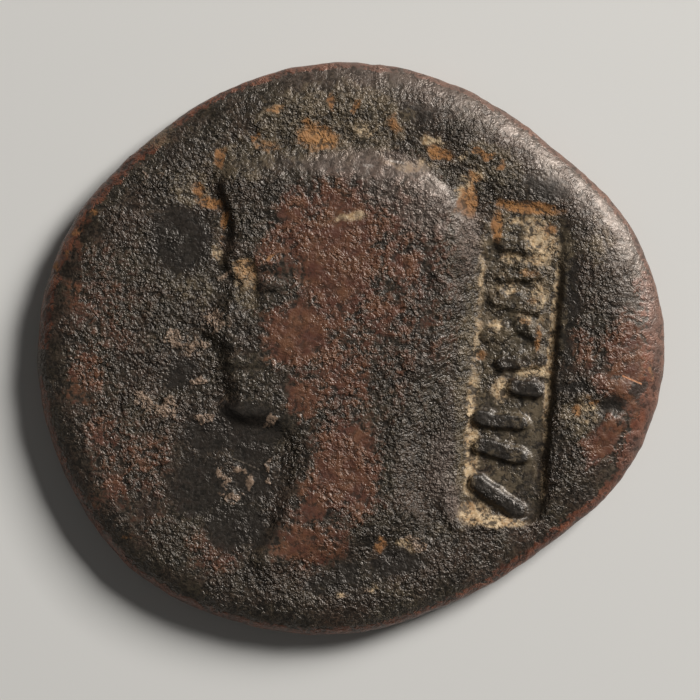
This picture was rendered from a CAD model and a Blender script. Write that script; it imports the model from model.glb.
import math

import bmesh
import bpy
import numpy as np
from mathutils import Matrix, Vector, noise


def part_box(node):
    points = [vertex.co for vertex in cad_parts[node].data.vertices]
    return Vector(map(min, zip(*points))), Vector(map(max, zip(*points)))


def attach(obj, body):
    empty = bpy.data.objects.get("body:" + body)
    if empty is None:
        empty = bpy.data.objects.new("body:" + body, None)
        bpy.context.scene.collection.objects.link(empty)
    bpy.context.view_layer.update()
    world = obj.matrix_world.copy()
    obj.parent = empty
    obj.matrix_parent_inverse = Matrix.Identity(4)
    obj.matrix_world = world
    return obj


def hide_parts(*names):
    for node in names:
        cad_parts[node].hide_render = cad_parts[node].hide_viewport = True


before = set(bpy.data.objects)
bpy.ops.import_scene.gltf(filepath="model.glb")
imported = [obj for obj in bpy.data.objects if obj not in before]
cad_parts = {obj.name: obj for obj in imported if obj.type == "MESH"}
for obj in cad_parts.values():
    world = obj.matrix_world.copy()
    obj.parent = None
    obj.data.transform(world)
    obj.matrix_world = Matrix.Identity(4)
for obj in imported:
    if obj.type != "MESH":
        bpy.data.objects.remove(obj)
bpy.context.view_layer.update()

# ==== The flan ===================================================================================
# The blank is a cast disc of copper with a little tin, struck hot between two dies. It was never
# filed, so its edge bulges out to a rounded, uneven rim. All sizes below are in millimetres.

low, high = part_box("coin")
CHORD = 29.02
MM = (high.x - low.x) / CHORD

# The flan's radius at sixteen even steps, anticlockwise from +X. Then how far its edge wavers, and
# how lumpily.
EDGE_RADII = [
    14.5, 14.12, 13.17, 13.1, 13.24, 13.27, 13.43, 14.21,
    14.52, 14.49, 14.39, 13.74, 13.19, 12.68, 12.9, 14.02,
]
EDGE_WAVER, EDGE_LUMPS = 0.05, 9
# Heights of the obverse field, of the line where the flan is widest and of the reverse field.
FIELD, EQUATOR, REVERSE_FIELD = 2.1, 1.0, 0.1
DISH, REVERSE_DISH = 0.08, 0.04
# How far in the edge is rounded off. The rounding is wider on the side that wore most.
SHOULDER, SHOULDER_SWING, REVERSE_SHOULDER = 2.2, 0.6, 1.8
WORN_SIDE = math.radians(40)
# Cells along a sheet, the share of them on the flat, and half the height of the edge's band.
CELLS, FLAT_SHARE, HALF_BAND = 264, 0.79, 0.03


def edge_radius(angle):
    """Radius of the edge in a direction: a smooth curve through the sixteen radii."""
    steps = len(EDGE_RADII)
    place = angle / (2 * math.pi) * steps
    first = np.floor(place).astype(int)
    t = place - first
    a, b, c, d = (np.take(EDGE_RADII, first + step, mode="wrap") for step in (-1, 0, 1, 2))
    return b + 0.5 * (
        (c - a) * t + (2 * a - 5 * b + 4 * c - d) * t**2 + (3 * b - a - 3 * c + d) * t**3
    )


def rough(x, y, size, seed, octaves=1):
    """Noise from about -1 to 1 over the coin, its lumps of a given size, the same on every run."""
    places = (Vector((a, b, seed)) for a, b in zip((x / size).tolist(), (y / size).tolist()))
    if octaves == 1:
        return np.array([noise.noise(place) for place in places])
    return np.array([noise.fractal(place, 0.6, 2.0, octaves) for place in places])


def smooth(t):
    """Rises from 0 to 1 with soft ends."""
    t = np.clip(t, 0, 1)
    return t * t * (3 - 2 * t)


# Two sheets of cells, the hidden reverse with half as many, joined round the edge.
blank = bmesh.new()
bmesh.ops.create_grid(
    blank, x_segments=CELLS, y_segments=CELLS, size=1, matrix=Matrix.Translation((0, 0, 1))
)
bmesh.ops.create_grid(
    blank,
    x_segments=CELLS // 2,
    y_segments=CELLS // 2,
    size=1,
    matrix=Matrix.Translation((0, 0, -1)),
)
bmesh.ops.reverse_faces(blank, faces=[f for f in blank.faces if f.verts[0].co.z < 0])
coarse_edge = [e for e in blank.edges if e.is_boundary and e.verts[0].co.z < 0]
bmesh.ops.subdivide_edges(blank, edges=coarse_edge, cuts=1)
bmesh.ops.bridge_loops(blank, edges=[e for e in blank.edges if e.is_boundary])
flan_mesh = bpy.data.meshes.new("coin_flan")
blank.to_mesh(flan_mesh)
blank.free()

# The square sheets are drawn out into discs, ring by ring, and rounded off towards the edge.
square = np.empty(len(flan_mesh.vertices) * 3)
flan_mesh.vertices.foreach_get("co", square)
u, v, side = square.reshape(-1, 3).T
ring = np.maximum(abs(u), abs(v))
leading = abs(u) >= abs(v)
turned = np.where(leading, v / np.where(leading & (u != 0), u, 1), -u / np.where(leading, 1, v))
quarter = np.where(leading, np.where(u < 0, math.pi, 0), np.where(v < 0, math.pi, 0) + math.pi / 2)
angle = turned * math.pi / 4 + quarter
obverse = side > 0

wavering = rough(np.cos(angle) * EDGE_LUMPS, np.sin(angle) * EDGE_LUMPS, 1.0, 1.0, 3)
radius = edge_radius(angle) + EDGE_WAVER * wavering
swing = SHOULDER + SHOULDER_SWING * np.cos(angle - WORN_SIDE)
shoulder = np.where(obverse, swing, REVERSE_SHOULDER)
border = radius - shoulder
outward = np.clip((ring - FLAT_SHARE) / (1 - FLAT_SHARE), 0, 1)
reach = np.where(
    outward > 0, border + shoulder * np.sin(outward * math.pi / 2), border * ring / FLAT_SHARE
)
x, y = reach * np.cos(angle), reach * np.sin(angle)
dished = 1 - np.clip(ring / FLAT_SHARE, 0, 1) ** 2
level = np.where(obverse, FIELD - DISH * dished, REVERSE_FIELD + REVERSE_DISH * dished)
height = EQUATOR + HALF_BAND * side + (level - EQUATOR) * np.cos(outward * math.pi / 2)
inset = radius - reach

# ==== The head ===================================================================================
# The die's main device: a head in profile to the left, with short hair and a bare neck cut off
# below. Long use has worn it down to a low plateau with an outline and a few faint forms.

HEAD_HEIGHT, CROWN_Y, FACE_X = 12.6, 9.2, -5.85
# The plateau's rise over the field, and the width of its slopes at the crown, brow, face and nape.
HEAD_STEP, CROWN_EDGE, BROW_EDGE, FACE_EDGE, NAPE_EDGE = 0.27, 1.9, 0.45, 0.75, 1.4
# A low swell over the head, a trough round the crown, the hair with its locks, and the jaw.
HEAD_DOME, DOME_MIDDLE, DOME_HALF = 0.14, (0.2, 0.5), (8.5, 13.0)
TROUGH_DEPTH, TROUGH_OUT, TROUGH_WIDTH = 0.1, 0.7, 0.9
HAIR_STEP, HAIR_EDGE = 0.05, 0.4
LOCKS, LOCK_RISE, LOCK_EDGE, LOCK_BOW = 26, 0.02, 0.8, 2.2
JAW_STEP, JAW_EDGE, JAW_WAY = 0.09, 1.1, (0.42, -0.9)
WEAR, WEAR_SIZE = 0.07, 0.9  # how far wear has shifted the outlines, and over what length


def head_point(down, forward):
    """A point of the head, in shares of its height down from the crown and forward of the face."""
    return FACE_X - forward * HEAD_HEIGHT, CROWN_Y - down * HEAD_HEIGHT


# The outline of head and neck, and of the hair. Eyes at half the height, the end of the nose
# three quarters of the way down, the chin at the full height.
HEAD_OUTLINE = [
    (0.04, 0.0), (0.13, 0.03), (0.22, -0.002), (0.32, -0.014), (0.415, 0.004), (0.48, -0.024),
    (0.58, 0.03), (0.675, 0.074), (0.735, 0.018), (0.785, 0.026), (0.82, 0.004), (0.855, 0.016),
    (0.895, -0.01), (0.955, 0.01), (1.01, -0.05), (1.025, -0.165), (1.09, -0.235), (1.22, -0.215),
    (1.38, -0.155), (1.5, -0.09), (1.556, -0.143), (1.53, -0.3), (1.508, -0.437), (1.46, -0.6),
    (1.38, -0.728), (1.25, -0.71), (1.08, -0.715), (0.9, -0.765), (0.72, -0.855), (0.52, -0.905),
    (0.33, -0.909), (0.18, -0.873), (0.07, -0.762), (0.005, -0.563), (0.0, -0.36), (0.012, -0.17),
]
HAIR_OUTLINE = [
    (0.045, -0.03), (0.12, -0.005), (0.185, -0.04), (0.21, -0.13), (0.3, -0.235), (0.44, -0.3),
    (0.52, -0.38), (0.5, -0.47), (0.52, -0.56), (0.66, -0.6), (0.8, -0.66), (0.87, -0.73),
    (0.8, -0.79), (0.66, -0.84), (0.5, -0.87), (0.33, -0.875), (0.19, -0.84), (0.09, -0.74),
    (0.035, -0.56), (0.03, -0.36), (0.035, -0.17),
]
# The worn forms of the face: down, forward, half widths across and along, a turn and a rise.
FACE_FORMS = [
    (0.425, -0.17, 1.1, 0.24, -6, 0.09),  # brow
    (0.462, -0.16, 0.8, 0.14, -4, -0.06),  # fold below it
    (0.5, -0.17, 0.5, 0.24, 0, 0.11),  # eye
    (0.532, -0.17, 0.6, 0.12, 6, -0.05),  # hollow below it
    (0.68, -0.25, 1.5, 1.5, 20, 0.08),  # cheek
    (0.63, -0.035, 0.35, 1.1, 12, 0.05),  # side of the nose
    (0.715, -0.035, 0.34, 0.3, 0, 0.08),  # nostril
    (0.775, -0.04, 0.5, 0.2, 0, 0.06),  # upper lip
    (0.808, -0.075, 0.75, 0.11, 3, -0.09),  # line of the mouth
    (0.842, -0.045, 0.42, 0.2, 0, 0.06),  # lower lip
    (0.945, -0.07, 0.6, 0.55, 0, 0.07),  # chin
    (0.6, -0.47, 0.5, 0.95, -8, 0.1),  # ear
    (0.6, -0.46, 0.2, 0.5, -8, -0.08),  # its hollow
    (0.68, -0.45, 0.3, 0.3, 0, 0.06),  # its lobe
]


def smooth_loop(points, cuts=4):
    """A closed curve that runs smoothly through a list of points."""
    points = np.array(points, float)
    a, b, c, d = (np.roll(points, -step, axis=0)[:, None] for step in (-1, 0, 1, 2))
    t = np.linspace(0, 1, cuts, endpoint=False)[None, :, None]
    bends = (2 * a - 5 * b + 4 * c - d) * t**2 + (3 * b - a - 3 * c + d) * t**3
    return (b + 0.5 * ((c - a) * t + bends)).reshape(-1, 2)


def depth_inside(loop, px, py):
    """Distance from each place to a closed outline, below 0 outside it."""
    nearest = np.full(px.shape, np.inf)
    inside = np.zeros(px.shape, bool)
    for (ax, ay), (bx, by) in zip(loop, np.roll(loop, -1, axis=0)):
        dx, dy = bx - ax, by - ay
        t = np.clip(((px - ax) * dx + (py - ay) * dy) / (dx * dx + dy * dy), 0, 1)
        nearest = np.minimum(nearest, np.hypot(px - ax - t * dx, py - ay - t * dy))
        if dy != 0:
            inside ^= ((ay > py) != (by > py)) & (px < ax + dx * (py - ay) / dy)
    return np.where(inside, nearest, -nearest)


def across_along(px, py, cx, cy, degrees):
    """Places as seen from a spot that is turned by some degrees: across it and along it."""
    cos, sin = math.cos(math.radians(degrees)), math.sin(math.radians(degrees))
    dx, dy = px - cx, py - cy
    return dx * cos + dy * sin, dy * cos - dx * sin


top_x, top_y = x[obverse], y[obverse]
worn_x = top_x + WEAR * rough(top_x, top_y, WEAR_SIZE, 3.0, 2)
worn_y = top_y + WEAR * rough(top_x, top_y, WEAR_SIZE, 7.0, 2)
head_depth = depth_inside(smooth_loop([head_point(*p) for p in HEAD_OUTLINE]), worn_x, worn_y)
hair_depth = depth_inside(smooth_loop([head_point(*p) for p in HAIR_OUTLINE]), worn_x, worn_y)

# The plateau's slope is steep at the brow, softer down the face and broad at the crown and nape.
# Each stretch fades in past a line, over a short length.
head_edge = CROWN_EDGE + (NAPE_EDGE - CROWN_EDGE) * smooth((5.5 - top_y) / 4)
at_brow = smooth((-3.6 - top_x) / 1.4) * smooth((top_y - 2.2) / 1.2) * smooth((8.6 - top_y) / 1.2)
at_face = smooth((-1.5 - top_x) / 2) * smooth((3.2 - top_y) / 1.2)
head_edge += (BROW_EDGE - head_edge) * at_brow
head_edge += (FACE_EDGE - head_edge) * at_face
head_rise = smooth(head_depth / head_edge + 0.15)
off_x, off_y = (top_x - DOME_MIDDLE[0]) / DOME_HALF[0], (top_y - DOME_MIDDLE[1]) / DOME_HALF[1]
relief = head_rise * (HEAD_STEP + HEAD_DOME * np.clip(1 - (off_x**2 + off_y**2), 0, 1))
relief += HAIR_STEP * smooth(hair_depth / HAIR_EDGE + 0.5)

# The field is a little lower over the crown, where the die's metal filled the head.
over_crown = smooth((top_y - 5.5) / 2.5) * (head_depth < 0)
relief -= TROUGH_DEPTH * over_crown * np.exp(-(((head_depth + TROUGH_OUT) / TROUGH_WIDTH) ** 2))

for down, forward, wide, tall, turn, rise in FACE_FORMS:
    aside, upward = across_along(worn_x, worn_y, *head_point(down, forward), turn)
    relief += rise * np.exp(-((aside / wide) ** 2 + (upward / tall) ** 2)) * head_rise

# The neck lies lower than the jaw, and short locks lie over the hair, turning about one whorl.
jaw_x, jaw_y = head_point(1.02, -0.12)
jaw_side = (worn_x - jaw_x) * JAW_WAY[0] + (worn_y - jaw_y) * JAW_WAY[1]
relief -= JAW_STEP * smooth(jaw_side / JAW_EDGE + 0.5) * smooth((3.6 - worn_x) / 2.5) * head_rise
whorl_x, whorl_y = head_point(0.3, -0.5)
curl = np.arctan2(worn_y - whorl_y, worn_x - whorl_x)
bow = LOCK_BOW * np.hypot(worn_x - 0.5, worn_y - 5.4)
locks = np.sin(LOCKS * curl + bow + rough(top_x, top_y, 1.6, 31.0))
relief += LOCK_RISE * locks * smooth(hair_depth / LOCK_EDGE)

# ==== The countermark ============================================================================
# Years after striking, an officer's punch was hammered in beside the head. It left an oblong panel
# with slanting walls, a row of raised strokes on its floor, and dragged the metal round it down.

PANEL_X, PANEL_Y, PANEL_LEAN = 7.5, -0.62, -4.5
PANEL_HALF_WIDTH, PANEL_HALF_LENGTH, PANEL_CORNER = 1.74, 7.15, 0.6
# Depth, how much less deep the upper end is, and how far the walls lean out, the left one most.
PANEL_DEPTH, TILT, PANEL_FLARE, LEFT_FLARE = 0.52, 0.28, 0.42, 0.85
DRAG, DRAG_REACH, BURR_RISE, BURR_WIDTH = 0.12, 0.8, 0.09, 0.16
STROKE_RISE, STROKE_RADIUS, STROKE_SIDE = 0.26, 0.37, 0.14
# How far corrosion has eaten into the strokes: at the lower end, and how much further above it.
EATEN, EATEN_ABOVE = 0.05, 0.13
# Place along the panel and across it, length, and turn in degrees from lying straight across.
PANEL_STROKES = [
    (-6.25, -0.3, 2.3, -31), (-4.15, -0.3, 1.9, -10), (-2.75, -0.4, 1.9, -2), (-1.2, 0.6, 0.9, -5),
    (0.05, 0.3, 1.5, 8), (1.2, -0.9, 0.8, 12), (1.5, 0.6, 0.9, -20), (2.75, -0.1, 1.7, -6),
    (4.1, 0.0, 1.7, 8), (5.3, -0.3, 1.3, -6),
]


def from_bar(px, py, cx, cy, length, degrees):
    """Distance from each place to a straight bar's middle line."""
    ahead, aside = across_along(px, py, cx, cy, degrees)
    return np.hypot(ahead - np.clip(ahead, -length / 2, length / 2), aside)


across, along = across_along(worn_x, worn_y, PANEL_X, PANEL_Y, PANEL_LEAN)
past_x = abs(across) - PANEL_HALF_WIDTH + PANEL_CORNER
past_y = abs(along) - PANEL_HALF_LENGTH + PANEL_CORNER
past_corner = np.hypot(np.maximum(past_x, 0), np.maximum(past_y, 0))
from_floor = past_corner + np.minimum(np.maximum(past_x, past_y), 0) - PANEL_CORNER
flare = PANEL_FLARE + (LEFT_FLARE - PANEL_FLARE) * smooth(-across - 1)
sunk = 1 - smooth((from_floor + 0.08) / flare)
relief -= DRAG * np.exp(-np.clip(from_floor - flare, 0, None) / DRAG_REACH)

# Above the middle the strokes and the floor are more corroded.
corroded = smooth((along + 1) / 2)
eaten = EATEN + EATEN_ABOVE * corroded
rough_across = across + eaten * rough(top_x, top_y, 0.5, 71.0, 2)
rough_along = along + eaten * rough(top_x, top_y, 0.5, 77.0, 2)
strokes = np.zeros(across.shape)
for stroke_along, stroke_across, length, turn in PANEL_STROKES:
    away = from_bar(rough_across, rough_along, stroke_across, stroke_along, length, turn)
    strokes = np.maximum(strokes, smooth((STROKE_RADIUS - away) / STROKE_SIDE + 0.5))
strokes *= 1 - eaten * (2 + 2.5 * rough(top_x, top_y, 0.8, 79.0, 2))
# The floor rises towards its upper end, carries the strokes, and is lumpy where it is eaten.
floor = FIELD - PANEL_DEPTH + TILT * smooth((along - 2) / 5)
floor += STROKE_RISE * strokes * (1 - smooth(from_floor / 0.25 + 0.6))
floor += 0.25 * eaten * (1 + rough(top_x, top_y, 1.1, 83.0, 3))

# A low burr was pushed up at the lower left corner.
burr = np.exp(-(((from_floor - flare - 0.12) / BURR_WIDTH) ** 2))
relief += BURR_RISE * (burr * smooth(-along - 5.4) * smooth(-across))

# ==== The worn ridges and the pit ================================================================
# Two low ridges on the right are all that wear has left of the legend round the rim. In front of
# the eye a flake of the surface has broken out and left a flat-bottomed pit.

# A middle, a length and a turn in degrees.
RIDGES = [(11.9, -1.7, 1.6, -12), (11.4, -4.0, 2.0, 38)]
RIDGE_RADIUS, RIDGE_RISE = 0.52, 0.07
RECESS, RECESS_DEPTH = (11.2, -2.75, 1.9, 6), 0.1
PIT_X, PIT_Y, PIT_TURN = -4.83, 2.98, 6
PIT_HALF_WIDTH, PIT_HALF_LENGTH, PIT_DEPTH = 0.56, 1.2, 0.16

for ridge in RIDGES:
    relief += RIDGE_RISE * smooth(1.1 - from_bar(worn_x, worn_y, *ridge) / RIDGE_RADIUS)
relief -= RECESS_DEPTH * smooth(1.1 - from_bar(worn_x, worn_y, *RECESS) / RIDGE_RADIUS)
pit_across, pit_along = across_along(worn_x, worn_y, PIT_X, PIT_Y, PIT_TURN)
pit_across, pit_along = abs(pit_across) / PIT_HALF_WIDTH, abs(pit_along) / PIT_HALF_LENGTH
pitted = smooth((1 - (pit_across**6 + pit_along**6) ** (1 / 6)) * 3 + 0.4)
relief -= PIT_DEPTH * pitted

surface = height[obverse] + relief
surface = surface + (floor - surface) * sunk
height[obverse] = surface

# ==== The reverse ================================================================================
# The other die showed a draped figure standing between a staff and a bowl. It is worn down to flat
# tops that the coin rests on, like the spot that the anvil flattened under the punch.

# The dress, from the neck down to the hem and back up, seen through the coin from above.
BODY = [
    (-0.45, 6.35), (-1.4, 6.0), (-1.95, 5.1), (-1.5, 3.6), (-1.2, 2.3), (-1.7, 0.6), (-1.8, -2.0),
    (-2.1, -5.0), (-2.7, -7.7), (-2.9, -8.8), (-1.1, -9.1), (1.2, -9.05), (2.9, -8.7), (2.6, -6.0),
    (2.4, -3.0), (2.3, -0.4), (1.8, 1.1), (1.35, 2.4), (1.75, 4.0), (1.8, 5.2), (1.2, 6.05),
    (0.4, 6.35),
]
# One arm, the staff and the other arm: a middle, a length, a turn in degrees and a half width.
LIMBS = [
    (-3.0, 5.05, 4.15, 15.4, 0.55), (-5.0, -0.05, 16.7, 90, 0.4), (2.45, 4.0, 4.32, -47.8, 0.55),
]
# The head, the bowl and the flattened spot: a middle, half widths and a turn.
LUMPS = [(-0.1, 7.3, 0.95, 1.2, 0), (4.3, 1.9, 1.15, 0.8, 0), (8.2, -0.6, 1.8, 5.2, -4.5)]
# The folds of the dress: a middle, a length and a turn.
FOLDS = [
    (-1.15, -3.8, 8.8, 86.7), (-0.15, -3.8, 8.8, 90.6), (0.9, -3.8, 8.8, 93.9),
    (1.7, -3.8, 8.8, 95.2),
]
FOLD_RADIUS, FOLD_DEPTH, REVERSE_EDGE = 0.2, 0.06, 0.35
REVERSE_WEAR, REVERSE_WEAR_SIZE = 0.06, 1.0

under_x, under_y = x[~obverse], y[~obverse]
worn_under_x = under_x + REVERSE_WEAR * rough(under_x, under_y, REVERSE_WEAR_SIZE, 23.0, 2)
worn_under_y = under_y + REVERSE_WEAR * rough(under_x, under_y, REVERSE_WEAR_SIZE, 27.0, 2)
figure = depth_inside(smooth_loop(BODY), worn_under_x, worn_under_y)
for *limb, half_width in LIMBS:
    figure = np.maximum(figure, half_width - from_bar(worn_under_x, worn_under_y, *limb))
for cx, cy, half_width, half_length, turn in LUMPS:
    aside, upward = across_along(worn_under_x, worn_under_y, cx, cy, turn)
    stretched = np.hypot(aside / half_width, upward / half_length)
    figure = np.maximum(figure, (1 - stretched) * min(half_width, half_length))
worn_flat = smooth(figure / REVERSE_EDGE + 0.3)
furrows = np.zeros(figure.shape)
for fold in FOLDS:
    off_fold = from_bar(worn_under_x, worn_under_y, *fold) / FOLD_RADIUS
    furrows = np.maximum(furrows, smooth(1 - off_fold))
underside = height[~obverse] * (1 - worn_flat) + FOLD_DEPTH * furrows * worn_flat

# ==== The surface ================================================================================
# Two thousand years in the ground have eaten the surface into a dense pebbly grain with small pits.
# Where hands wore it or a hard patina formed, it is smoother.

# How far the grain, the long swell of the field and the pale crusts stand up.
GRAIN_RISE, SWELL_RISE, CRUST_RISE = 0.018, 0.03, 0.05
REVERSE_GRAIN, REVERSE_GRAIN_SIZE = 0.02, 0.5
WORN_TOP, WORN_GIVE = 2.45, 0.08  # where the highest spots wore off, and how softly
WARP, WARP_SIZE = 0.35, 1.3  # how far the outlines of the spots below wander, and over what length
# Small pits: how many, how far out, and the least and the range of their width and depth.
POCK_COUNT, POCK_REACH, POCK_WIDTH, POCK_DEPTH = 260, 13.5, (0.1, 0.28), (0.02, 0.05)
# Bare red copper, where the high parts are rubbed. Each spot, here and below, is an x, a y, a half
# width, a half length, a turn and an amount.
COPPER = [
    (-9.8, -6.0, 3.0, 3.0, 0, 0.43), (-10.8, -6.4, 0.7, 0.6, 0, 0.6), (-2.6, 5.4, 1.2, 2.0, 0, 0.8),
    (-2.2, -2.2, 1.0, 1.2, 0, 0.7), (-1.5, -7.0, 1.4, 1.0, 20, 0.8), (0.6, 3.0, 4.8, 6.0, 0, 0.5),
    (-11.4, 1.5, 2.2, 4.0, 0, 0.35), (0.8, 8.3, 3.0, 0.7, -3, 0.35), (-0.5, 4.3, 2.1, 3.4, 0, 0.95),
    (-2.4, 0.7, 1.9, 1.7, 20, 0.9), (2.5, 3.7, 1.2, 0.9, 0, 0.7), (1.5, 1.8, 1.1, 0.9, 0, 0.75),
    (-0.3, -5.4, 1.7, 2.6, 0, 0.85), (-1.9, -9.1, 1.8, 1.0, 0, 0.75),
    (-0.4, -1.4, 1.8, 2.2, 0, 0.6), (-0.6, 7.4, 1.5, 1.1, 0, 0.55), (-3.6, 4.2, 0.9, 1.4, 0, 0.55),
    (-12.2, -1.2, 1.0, 1.6, 0, 0.65), (-11.3, -3.9, 1.1, 0.9, 0, 0.6),
    (-12.8, 5.2, 0.5, 1.6, -25, 0.65), (-12.6, 2.4, 0.6, 1.0, 0, 0.55),
    (12.7, -0.6, 1.2, 2.6, 0, 0.75), (10.6, 0.2, 0.8, 1.4, 0, 0.5),
    (12.2, -1.6, 1.1, 0.5, -12, 0.9), (11.6, -4.1, 1.4, 0.7, 38, 0.9),
    (-6.5, -9.4, 1.5, 0.8, -30, 0.5), (13.0, -2.8, 0.5, 0.9, 20, 0.85),
]
# A hard, smooth black patina.
BLACK = [
    (-7.9, 5.0, 1.7, 1.7, 0, 0.85), (-4.8, -3.7, 1.6, 1.3, 0, 1.0), (-6.6, -4.0, 1.4, 1.0, 0, 0.85),
    (-4.5, -5.6, 1.1, 1.6, 0, 1.0), (-6.9, -6.3, 1.6, 1.4, 0, 0.95), (-5.2, -8.1, 1.6, 1.2, 0, 0.9),
    (-7.9, -1.2, 1.0, 0.9, 0, 0.75), (2.0, -9.9, 1.3, 0.7, 10, 0.85),
    (-0.2, -10.3, 1.0, 0.7, 0, 0.8), (10.0, 2.2, 0.45, 3.6, -4.5, 0.75),
    (9.0, 7.3, 1.1, 0.6, -20, 0.85), (12.0, -2.6, 0.8, 0.4, 8, 0.95),
    (10.2, -1.8, 1.0, 0.3, -8, 0.85), (3.0, 10.7, 1.0, 0.6, -15, 0.65),
    (-1.1, -10.9, 1.0, 0.5, 0, 0.7), (0.6, -9.0, 0.5, 0.3, 0, 0.7), (13.2, -1.9, 0.35, 0.4, 0, 0.6),
    (-9.5, -7.2, 0.9, 0.7, 0, 0.5), (8.3, -3.9, 0.45, 1.6, -4, 0.8),
    (6.6, -6.3, 0.7, 0.4, -31, 0.75), (12.2, -1.2, 0.7, 0.3, 0, 0.55),
]
# Pale crusts that stand a little proud of the field.
PALE = [
    (-9.6, -2.45, 0.55, 0.4, -35, 1.0), (-8.9, -2.9, 0.6, 0.35, 10, 1.0),
    (-8.3, -2.5, 0.3, 0.4, 30, 0.6), (-7.0, -1.5, 0.4, 0.25, 0, 0.75),
    (-6.6, -3.1, 0.5, 0.25, -10, 0.7), (-6.0, -5.9, 0.3, 0.5, 10, 0.6),
    (-5.2, -5.5, 0.6, 0.25, -20, 0.62), (-4.8, -6.1, 0.3, 0.5, 0, 0.65),
    (-5.5, -6.8, 0.6, 0.25, 0, 0.6), (-3.8, -3.3, 0.25, 0.3, 0, 0.8),
    (-3.75, -5.4, 0.2, 0.25, 0, 0.9), (-3.75, -6.0, 0.2, 0.22, 0, 0.9),
    (-7.9, 0.3, 1.3, 0.6, 0, 0.53), (-6.2, 1.3, 0.9, 0.5, 0, 0.55), (-9.0, 7.6, 0.9, 0.5, 0, 0.45),
    (2.9, -8.9, 0.5, 0.25, 0, 0.85), (-0.4, -11.3, 0.3, 0.2, 0, 0.65),
    (0.9, -11.0, 0.4, 0.2, 0, 0.6), (-5.9, 3.3, 0.5, 0.3, 0, 0.5),
]


def blotches(px, py, spots):
    """How much a list of soft spots covers each place."""
    strongest = np.zeros(px.shape)
    for cx, cy, half_width, half_length, turn, amount in spots:
        aside, upward = across_along(px, py, cx, cy, turn)
        out = np.hypot(aside / half_width, upward / half_length)
        strongest = np.maximum(strongest, amount * np.clip(1.5 - out, 0, 1))
    return strongest


warp_x = top_x + WARP * rough(top_x, top_y, WARP_SIZE, 41.0, 3)
warp_y = top_y + WARP * rough(top_x, top_y, WARP_SIZE, 47.0, 3)
pale = blotches(warp_x, warp_y, PALE)
copper = blotches(warp_x, warp_y, COPPER)
black = blotches(warp_x, warp_y, BLACK)
in_panel = 1 - smooth(from_floor / 0.3)
on_crown = 4 * head_rise * (1 - head_rise) * smooth((top_y - 5) / 3) * (1 - at_brow)
on_face = head_rise * smooth((-0.8 - top_x) / 1.6) * smooth((5.0 - top_y) / 1.6)
near_rim = np.clip(1.3 - inset[obverse] / 1.9, 0, 1)
rubbed_side = smooth(0.1 + np.cos(np.arctan2(top_y, top_x) - WORN_SIDE))

# How coarse the grain is, from place to place.
coarse = 1.05 + 0.5 * rough(top_x, top_y, 1.4, 61.0, 3)
coarse -= 0.6 * copper + 0.95 * black + 0.75 * on_crown + 0.3 * on_face
coarse -= (0.45 + 0.35 * rubbed_side) * near_rim
coarse -= (0.4 + 0.35 * smooth(-along / 2)) * in_panel
coarse = np.clip(coarse + 0.5 * pale, 0.15, 1.5)

grain = rough(top_x, top_y, 0.42, 11.0, 3)
swell = rough(top_x, top_y, 3.2, 13.0, 2)
height[obverse] += coarse * GRAIN_RISE * grain + SWELL_RISE * swell * (1 - in_panel)
height[obverse] += CRUST_RISE * smooth(1.6 * pale - 0.5 + grain)

# The highest spots wore off first, so nothing stands much over the head's plateau.
proud = np.clip(height[obverse] - WORN_TOP, 0, None)
height[obverse] -= proud**2 / (proud + WORN_GIVE)
under_grain = rough(under_x, under_y, REVERSE_GRAIN_SIZE, 17.0, 2)
height[~obverse] = underside + REVERSE_GRAIN * under_grain * (1 - worn_flat)
height = np.maximum(height, 0)

# The small pits are scattered evenly, by chance.
chance = np.random.default_rng(5)
for _ in range(POCK_COUNT):
    far, way = POCK_REACH * math.sqrt(chance.random()), 2 * math.pi * chance.random()
    wide = POCK_WIDTH[0] + POCK_WIDTH[1] * chance.random() ** 3
    deep = POCK_DEPTH[0] + POCK_DEPTH[1] * chance.random()
    cx, cy = far * math.cos(way), far * math.sin(way)
    near = obverse & (abs(x - cx) < 2 * wide) & (abs(y - cy) < 2 * wide)
    out = np.hypot(x[near] - cx, y[near] - cy) / wide
    height[near] -= deep * np.exp(-(out**2) * 1.5)

x += (low.x + high.x) / 2 / MM - (x.min() + x.max()) / 2
y += (low.y + high.y) / 2 / MM - (y.min() + y.max()) / 2
flan_mesh.vertices.foreach_set("co", (np.column_stack([x, y, height]) * MM).ravel())
flan_mesh.shade_smooth()
flan_mesh.update()
coin = bpy.data.objects.new("coin_flan", flan_mesh)
bpy.context.scene.collection.objects.link(coin)

# ==== The patina =================================================================================
# Brown to black copper minerals cover the metal. Ochre earth sits in the hollows, red copper shows
# where the high parts and the rim are rubbed, and a few pale crusts are left on the field.

# Light ochre earth.
OCHRE = [
    (-1.6, 9.7, 0.9, 0.6, 5, 0.5), (-3.3, 11.0, 0.5, 0.3, 20, 0.5),
    (-3.95, 9.3, 0.5, 0.35, -40, 0.5), (0.7, 10.2, 0.6, 0.4, 0, 0.6),
    (-6.1, 4.6, 0.25, 0.8, 0, 0.45), (-0.2, 6.0, 0.9, 0.3, 10, 0.6),
    (10.8, -2.5, 0.55, 0.45, 0, 0.6), (11.1, -3.2, 0.4, 0.3, 0, 0.5), (5.2, 8.7, 0.4, 0.3, 0, 0.7),
    (5.8, 8.0, 0.35, 0.35, 0, 0.6), (5.2, 7.3, 0.35, 0.6, -10, 0.7), (2.5, -9.1, 0.4, 0.25, 0, 0.8),
    (1.1, -11.0, 0.3, 0.2, 0, 0.65), (-0.5, -11.3, 0.3, 0.15, 0, 0.6),
    (3.6, 9.6, 0.7, 0.3, -10, 0.6), (2.9, 8.4, 1.2, 0.25, -5, 0.6),
]
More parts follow.
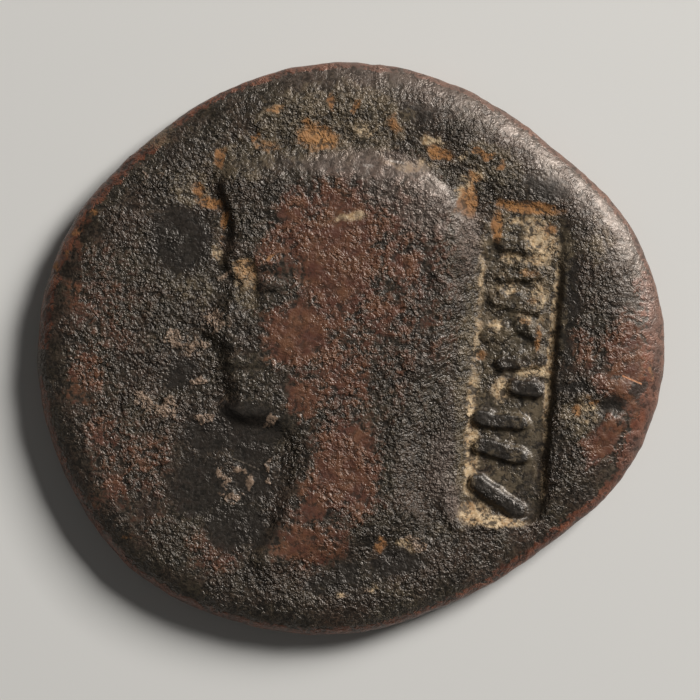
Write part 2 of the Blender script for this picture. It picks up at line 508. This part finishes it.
# Orange earth, stained by the copper under it.
ORANGE = [
    (-1.6, 9.7, 1.0, 0.65, 5, 0.8), (-3.3, 11.0, 0.6, 0.25, 20, 0.65),
    (-3.95, 9.3, 0.6, 0.35, -40, 0.65), (1.87, 10.2, 0.5, 0.4, 0, 0.55),
    (-6.0, 8.83, 0.3, 0.35, 0, 0.9), (-4.5, 9.8, 0.2, 0.2, 0, 0.8),
    (-2.1, 10.4, 0.3, 0.25, 0, 0.75), (-0.92, 11.45, 0.2, 0.4, 0, 0.75),
    (0.32, 11.1, 0.25, 0.3, 0, 0.75), (-6.5, 6.65, 0.5, 0.3, -30, 0.85),
    (-5.85, 5.8, 0.25, 0.7, 0, 0.9), (-7.05, 7.2, 0.35, 0.25, -40, 0.75),
    (-3.7, 4.07, 0.25, 0.15, 0, 0.7), (4.1, 9.0, 0.8, 0.4, -10, 0.85),
    (5.3, 6.8, 0.35, 1.0, -8, 0.95), (6.2, 8.85, 0.55, 0.18, -10, 0.85),
    (5.75, 7.95, 0.35, 0.22, -30, 0.85), (6.9, 8.5, 0.2, 0.3, 0, 0.7),
    (1.4, -9.1, 0.35, 0.25, 0, 0.9), (-1.0, 9.75, 0.3, 0.3, 0, 0.65),
    (11.1, -2.3, 0.45, 0.25, -10, 0.85), (10.4, -2.8, 0.3, 0.3, 0, 0.75),
    (13.7, -1.1, 0.15, 0.4, 0, 0.8), (-10.3, -8.8, 0.15, 0.15, 0, 0.7),
    (-12.1, 6.3, 0.25, 0.35, -30, 0.7), (-12.7, 5.2, 0.3, 0.25, -30, 0.65),
    (-13.1, 4.5, 0.2, 0.25, 0, 0.7), (-13.4, 3.7, 0.15, 0.4, 0, 0.7),
]
# A thin olive film of earth.
OLIVE = [
    (-1.0, 10.3, 3.4, 1.9, 0, 0.9), (-5.0, 8.8, 2.2, 1.2, 25, 0.65),
    (-7.5, 7.4, 1.4, 0.9, -30, 0.55), (6.6, 8.5, 1.5, 0.8, -25, 0.9),
    (10.6, -3.0, 0.9, 1.0, 0, 0.7), (1.5, -11.2, 3.0, 0.6, 0, 0.4), (-7.2, 2.6, 1.4, 1.0, 0, 0.5),
    (-9.0, 10.0, 1.2, 0.8, 40, 0.5), (11.4, 5.0, 0.9, 2.0, 0, 0.45), (4.6, -8.2, 1.2, 0.8, 0, 0.4),
]
# Light earth in the panel, placed across it and along it.
PANEL_SAND = [
    (1.65, 0.6, 0.16, 4.6, 0, 0.85), (0.7, 5.3, 0.8, 1.2, 0, 0.85), (0.9, 3.1, 0.7, 0.8, 0, 0.55),
    (0.0, 6.5, 1.2, 0.3, 0, 0.6), (0.2, 4.1, 0.8, 0.3, 5, 0.6), (-0.9, 1.6, 0.5, 0.4, 0, 0.6),
    (1.1, 1.9, 0.3, 0.6, 0, 0.5), (0.9, -0.3, 0.9, 0.32, 0, 1.0), (-0.45, -1.3, 0.45, 0.65, 0, 0.9),
    (-1.8, -2.4, 0.3, 2.8, 0, 0.65), (-1.6, -4.6, 0.3, 1.7, 0, 0.95),
    (-1.3, -7.1, 0.75, 0.55, 0, 1.0), (-0.3, -7.4, 1.3, 0.25, 0, 1.0),
    (-1.8, 2.6, 0.25, 2.8, 0, 0.5), (1.75, -5.4, 0.18, 0.9, 0, 0.7), (0.3, 1.9, 0.4, 0.3, 0, 0.85),
    (-0.5, 4.8, 0.6, 0.35, 0, 0.8), (1.7, -2.9, 0.12, 0.9, 0, 0.6), (-0.6, 3.4, 0.7, 0.9, 0, 0.5),
]
# Brown earth under it.
PANEL_DIRT = [
    (0.0, 3.2, 2.2, 4.2, 0, 0.9), (-1.9, -1.0, 0.7, 6.0, 0, 0.9), (0.9, 5.6, 1.4, 1.3, 0, 0.9),
    (0.3, -3.6, 1.4, 3.0, 0, 0.75),
]
# Orange earth at the panel's upper wall and between the strokes.
PANEL_ORANGE = [
    (0.0, 7.15, 1.5, 0.32, -2, 1.0), (-1.3, 6.1, 0.25, 0.7, 0, 0.85), (1.2, 6.2, 0.4, 0.3, 0, 0.7),
    (0.3, 1.85, 0.4, 0.22, 0, 0.6), (1.0, 1.2, 0.18, 0.7, 0, 0.65), (-1.5, 0.2, 0.3, 0.3, 0, 0.6),
    (0.3, 4.1, 0.7, 0.25, 5, 0.55), (-1.5, -6.8, 0.3, 0.4, 30, 0.55), (0.6, 2.9, 0.4, 0.2, 0, 0.5),
]
# Where handling has left a grey sheen.
SHEEN = [
    (0.9, 8.3, 2.4, 0.8, -4, 1.2), (1.6, 7.2, 2.2, 0.9, -8, 0.8), (3.2, 6.1, 1.5, 1.2, -30, 0.9),
    (5.4, 5.0, 0.7, 1.6, 10, 0.9), (4.2, -5.4, 0.8, 2.2, 0, 0.9), (4.6, -7.0, 0.6, 0.9, 0, 1.2),
]
# Stretches of the rim rubbed to the copper: from and to, in degrees from +X, and how far in.
BARE_RIM = [
    (-175, -60, 0.4), (-60, -12, 0.6), (-24, 14, 1.1), (14, 80, 0.3), (80, 130, 0.4),
    (130, 185, 0.65),
]
GRAIN_DEPTH = 0.13  # of the finest grain, which the material holds

degrees = np.degrees(np.arctan2(top_y, top_x))
bare_rim = np.zeros(top_x.shape)
for start, end, wide in BARE_RIM:
    in_stretch = smooth((degrees - start) / 8 + 0.5) * smooth((end - degrees) / 8 + 0.5)
    bare_rim = np.maximum(bare_rim, in_stretch * np.clip(1.3 - inset[obverse] / wide, 0, 1))
on_figure = worn_flat * (1 - furrows)
broken = np.clip(0.75 + 0.7 * rough(under_x, under_y, 1.7, 57.0, 3), 0, 1.2)
round_figure = smooth(1.2 - abs(figure + 0.15) / 0.35) * (figure < 0.3) * broken
edge_under = np.clip(1.3 - inset[~obverse] / 0.7, 0, 1)

on_stroke = strokes * in_panel
sand = blotches(across, along, PANEL_SAND) * (1 - 0.6 * on_stroke)
dirt = blotches(across, along, PANEL_DIRT) * (1 - 0.5 * on_stroke)
olive = np.maximum(blotches(warp_x, warp_y, OLIVE), dirt)
ochre = np.maximum(blotches(warp_x, warp_y, OCHRE), sand)
orange = np.maximum(blotches(warp_x, warp_y, ORANGE), blotches(across, along, PANEL_ORANGE))
orange = np.maximum(orange, 0.6 * pitted * smooth((worn_y - 2.9) / 0.8 + 0.5))
ochre = np.maximum(ochre, 0.65 * pitted * smooth((worn_y - 2.6) / 0.8 + 0.5))
olive = np.maximum(olive, pitted)
black = np.maximum(black, (0.95 - 0.65 * corroded) * on_stroke)
sheen = near_rim * (0.25 + 0.5 * rubbed_side) + 0.6 * on_crown
sheen = sheen + 0.3 * rubbed_side * (1 - in_panel)
sheen += blotches(warp_x, warp_y, SHEEN) - 0.4 * copper

# What covers the obverse and the reverse, kept on the mesh for the material.
coverings = {
    "copper": (copper, 0.8 * on_figure * broken),
    "sheen": (np.clip(sheen, 0, 1.3), 0.5 * on_figure),
    "rim": (bare_rim, edge_under),
    "black": (black, 0.5 * smooth(rough(under_x, under_y, 4.0, 51.0, 2) * 2)),
    "ochre": (ochre, 0.6 * round_figure),
    "orange": (orange, 0.5 * round_figure),
    "olive": (olive, 0.6 * broken),
    "pale": (pale, 0.0),
    "coarse": (coarse, 0.3 + 0.8 * broken - 0.6 * on_figure),
}
for name, (over, under) in coverings.items():
    amount = np.empty(len(x))
    amount[obverse] = over
    amount[~obverse] = under
    flan_mesh.attributes.new(name, "FLOAT", "POINT").data.foreach_set("value", amount)


class Flow:
    """A value, colour or direction on its way through a material's nodes."""

    def __init__(self, tree, socket=None):
        self.tree, self.socket = tree, socket

    def add(self, kind, settings, sockets, out=0):
        """Adds a node of a kind: its settings first, then the values or links of its sockets."""
        node = self.tree.nodes.new("ShaderNode" + kind)
        for name, value in settings.items():
            setattr(node, name, value)
        for name, value in sockets.items():
            if isinstance(value, Flow):
                self.tree.links.new(value.socket, node.inputs[name])
            else:
                node.inputs[name].default_value = value
        return Flow(self.tree, node.outputs[out] if node.outputs else None)

    def sum(self, operation, *values):
        return self.add("Math", {"operation": operation}, dict(enumerate(values)))

    def __add__(self, other):
        return self.sum("ADD", self, other)

    def __sub__(self, other):
        return self.sum("SUBTRACT", self, other)

    def __rsub__(self, other):
        return self.sum("SUBTRACT", other, self)

    def __mul__(self, other):
        return self.sum("MULTIPLY", self, other)

    def __abs__(self):
        return self.sum("ABSOLUTE", self)

    __radd__, __rmul__ = __add__, __mul__

    def between(self, start, end):
        """Rises from 0 to 1 as the value goes from start to end."""
        sockets = {"Value": self, "From Min": start, "From Max": end}
        return self.add("MapRange", {"interpolation_type": "SMOOTHSTEP"}, sockets)

    def over(self, ground, layer):
        """The ground colour, covered by a layer's colour where this value is high."""
        return self.add("Mix", {"data_type": "RGBA"}, {0: self, 6: ground, 7: layer}, out=2)


def tone(red, green, blue):
    """A colour as a paint chart gives it, from 0 to 255, turned into the light that it returns."""
    shares = [c / 255 for c in (red, green, blue)]
    return *(c / 12.92 if c <= 0.04045 else ((c + 0.055) / 1.055) ** 2.4 for c in shares), 1.0


patina = bpy.data.materials.new("bronze_patina")
patina.use_nodes = True
patina.node_tree.nodes.clear()
flow = Flow(patina.node_tree)
place = flow.add("TexCoord", {}, {}, out=3)


def mottle(size, detail=3.0, roughness=0.6, distortion=0.0):
    """Cloudy noise from 0 to 1 with lumps of a size in millimetres."""
    sockets = {"Vector": place, "Scale": 1 / (size * MM), "Detail": detail}
    sockets |= {"Roughness": roughness, "Distortion": distortion}
    return flow.add("TexNoise", {}, sockets)


def covering(name):
    """One of the coverings on the mesh."""
    return flow.add("Attribute", {"attribute_name": name}, {}, out=2)


def laid(name, over, bare=0.1, whole=0.5):
    """How much of the ground a covering hides: whole in its middle, broken up at its edge."""
    return (covering(name) * 1.6 + over - 1.0).between(bare, whole)


# The grain, and the clouds that break up the coverings.
grit = mottle(0.3, 2.6, 0.72, 0.3).between(0.3, 0.7)
lumps = abs(mottle(0.45, 2.6, 0.65) - 0.5) * 3.6
pebbles = lumps * 0.35 + grit * 0.65
grains = mottle(0.16, 1.0).between(0.35, 0.65)
patches = mottle(1.3, 6.0, 0.78, 0.5).between(0.38, 0.62)
specks = mottle(0.3, 3.0, 0.8).between(0.36, 0.64)
uneven = mottle(0.8, 3.0).between(0.3, 0.7)
plateaus = patches * 0.45 + specks * 0.35 + pebbles * 0.3
hollows = patches * 0.4 + specks * 0.35 + (1.0 - pebbles) * 0.3

copper_share = laid("copper", plateaus, 0.0, 0.75)
black_share = laid("black", patches * 0.5 + specks * 0.5)
olive_share = laid("olive", hollows)
ochre_share = laid("ochre", hollows, 0.0, 0.8)
orange_share = laid("orange", hollows, 0.0, 0.8)
pale_share = laid("pale", plateaus)
rim_share = laid("rim", plateaus)
earth_share = flow.sum("MAXIMUM", ochre_share, orange_share)

# Brown minerals, then the bare copper and the black patina.
tint = mottle(2.2, 3.0, 0.7).between(0.38, 0.62)
colour = tint.over(tone(44, 36, 29), tone(42, 37, 29))
colour = (patches * 0.7).over(colour, tint.over(tone(82, 62, 50), tone(74, 66, 50)))
colour = (grains * 0.4).over(colour, tone(88, 74, 60))
colour = (specks.between(0.55, 0.95) * 0.7).over(colour, tone(30, 26, 22))
red = uneven.over(tone(92, 54, 42), tone(118, 78, 54))
colour = (copper_share * 0.85).over(colour, red)
rubbed = uneven.over(tone(78, 43, 33), tone(134, 78, 54))
colour = (rim_share * 0.85).over(colour, rubbed)
colour = (black_share * 0.85).over(colour, tone(34, 30, 26))

# The film, the crusts, the dust round the earth, and the earth itself.
film = patches.over(tone(70, 62, 48), tone(112, 97, 75))
colour = (olive_share * 0.7).over(colour, film)
crust = grains.over(tone(118, 96, 78), tone(160, 134, 112))
colour = (pale_share * 0.85).over(colour, crust)
dust = covering("ochre").between(0.0, 1.1) * (0.35 + uneven * 0.35)
colour = dust.over(colour, tone(122, 100, 72))
sand = uneven.over(tone(156, 116, 72), tone(214, 184, 140))
sand = (grains * 0.65).over(sand, tone(240, 216, 180))
sand = (0.4 + specks * 0.5).over(tone(118, 94, 66), sand)
colour = (ochre_share * 0.9).over(colour, sand)
rust = uneven.over(tone(136, 88, 44), tone(190, 132, 70))
rust = (specks * 0.6).over(rust, tone(138, 92, 52))
colour = (orange_share * (0.6 + grit * 0.3)).over(colour, rust)

# The grey sheen, and the dark between the pebbles.
colour = (covering("sheen").between(0.4, 1.3) * 0.6).over(colour, tone(124, 108, 98))
crevice = pebbles.between(0.42, 0.15) * (0.8 - copper_share * 0.4 - covering("sheen") * 0.25)
colour = crevice.over(colour, tone(16, 14, 11))

east = flow.add("SeparateXYZ", {}, {"Vector": place}) * (1 / MM)
north = flow.add("SeparateXYZ", {}, {"Vector": place}, out=1) * (1 / MM)


def scratch(start_x, start_y, end_x, end_y, half_width):
    """1 along a thin straight scratch."""
    dx, dy = end_x - start_x, end_y - start_y
    right, up = east - start_x, north - start_y
    share = (right * dx + up * dy) * (1 / (dx * dx + dy * dy))
    share = flow.sum("MINIMUM", flow.sum("MAXIMUM", share, 0.0), 1.0)
    right, up = right - share * dx, up - share * dy
    return flow.sum("SQRT", right * right + up * up).between(half_width, half_width / 3)


# One bright scratch on the rim, three duller ones on the field, and two glints on the crown.
bright = scratch(12.5, -1.26, 13.37, -1.63, 0.05)
fresh = scratch(-5.9, -4.85, -4.2, -5.55, 0.045)
fresh = flow.sum("MAXIMUM", fresh, scratch(-9.8, 2.2, -8.9, 1.3, 0.05))
fresh = flow.sum("MAXIMUM", fresh, scratch(-8.8, 1.2, -7.4, -0.1, 0.04))
glint = scratch(0.62, 8.42, 1.0, 8.36, 0.1)
glint = flow.sum("MAXIMUM", glint, scratch(1.85, 8.62, 2.4, 8.52, 0.08))
colour = (fresh * grains * 0.7).over(colour, tone(120, 108, 94))
colour = (bright * 0.8).over(colour, tone(206, 142, 100))
colour = (glint * grit * 0.8).over(colour, tone(200, 190, 180))

gloss = 0.41 + (grains - 0.5) * 0.12 + earth_share * 0.4
depth = pebbles * covering("coarse") * (0.6 + uneven * 0.7) * (1.0 - earth_share * 0.3)
sockets = {"Strength": 1.0, "Distance": GRAIN_DEPTH * MM, "Height": depth}
bumped = flow.add("Bump", {}, sockets)
sockets = {"Base Color": colour, "Roughness": gloss, "Normal": bumped}
sockets |= {"Metallic": covering("sheen") * 0.18}
sockets |= {"Specular IOR Level": 0.75, "Specular Tint": (1.0, 0.9, 0.8, 1.0)}
metal = flow.add("BsdfPrincipled", {}, sockets)
flow.add("OutputMaterial", {}, {"Surface": metal})
flan_mesh.materials.append(patina)

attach(coin, "root")
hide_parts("coin")

# ==== The floor ==================================================================================
# A wide sheet of pale card, matt and plain, that the coin lies on. It is set a hair below the
# coin's flat spots, so that the two never share a plane.

CARD_HALF, CARD_GAP = 0.9, 0.02

card = bmesh.new()
bmesh.ops.create_grid(
    card,
    x_segments=1,
    y_segments=1,
    size=CARD_HALF,
    matrix=Matrix.Translation((0, 0, -CARD_GAP * MM)),
)
card_mesh = bpy.data.meshes.new("floor")
card.to_mesh(card_mesh)
card.free()
floor_object = bpy.data.objects.new("floor", card_mesh)
bpy.context.scene.collection.objects.link(floor_object)
card_finish = bpy.data.materials.new("pale_card")
card_finish.use_nodes = True
card_shader = card_finish.node_tree.nodes["Principled BSDF"]
card_shader.inputs["Base Color"].default_value = tone(222, 219, 213)
card_shader.inputs["Roughness"].default_value = 0.9
card_mesh.materials.append(card_finish)

# ==== The light and the camera ===================================================================
# One soft light stands low on the upper right and rakes over the relief, with a dim even fill. The
# camera looks straight down on the obverse.


def soft_light(name, azimuth, elevation, distance, size, power):
    """A square soft light that faces the coin."""
    lamp = bpy.data.lights.new(name, "AREA")
    lamp.size, lamp.energy = size, power
    stand = bpy.data.objects.new(name, lamp)
    a, e = math.radians(azimuth), math.radians(elevation)
    way = Vector((math.cos(a) * math.cos(e), math.sin(a) * math.cos(e), math.sin(e)))
    stand.location = way * distance
    stand.rotation_euler = way.to_track_quat("Z", "Y").to_euler()
    bpy.context.scene.collection.objects.link(stand)


soft_light("key_light", azimuth=38, elevation=34, distance=0.45, size=0.18, power=2.8)
soft_light("fill_light", azimuth=215, elevation=55, distance=0.6, size=0.5, power=0.12)

ROOM_GREY, ROOM_STRENGTH = 0.5, 0.08
surroundings = bpy.data.worlds.new("studio")
surroundings.use_nodes = True
room = surroundings.node_tree.nodes["Background"]
room.inputs["Color"].default_value = (ROOM_GREY, ROOM_GREY, ROOM_GREY, 1)
room.inputs["Strength"].default_value = ROOM_STRENGTH
bpy.context.scene.world = surroundings
bpy.context.scene.view_settings.view_transform = "Standard"

# The frame is a little wider than the coin and sits a hair off its middle.
FRAME_WIDTH, FRAME_X, FRAME_Y = 32.43, -0.035, -0.07
LENS, SENSOR = 150.0, 36.0
lens = bpy.data.cameras.new("camera")
lens.lens, lens.sensor_width = LENS, SENSOR
camera = bpy.data.objects.new("camera", lens)
middle = (low + high) / 2
rise = FRAME_WIDTH * LENS / SENSOR + EQUATOR
camera.location = (middle.x + FRAME_X * MM, middle.y + FRAME_Y * MM, rise * MM)
lens.clip_start, lens.clip_end = 0.005, 5.0
bpy.context.scene.collection.objects.link(camera)
bpy.context.scene.camera = camera
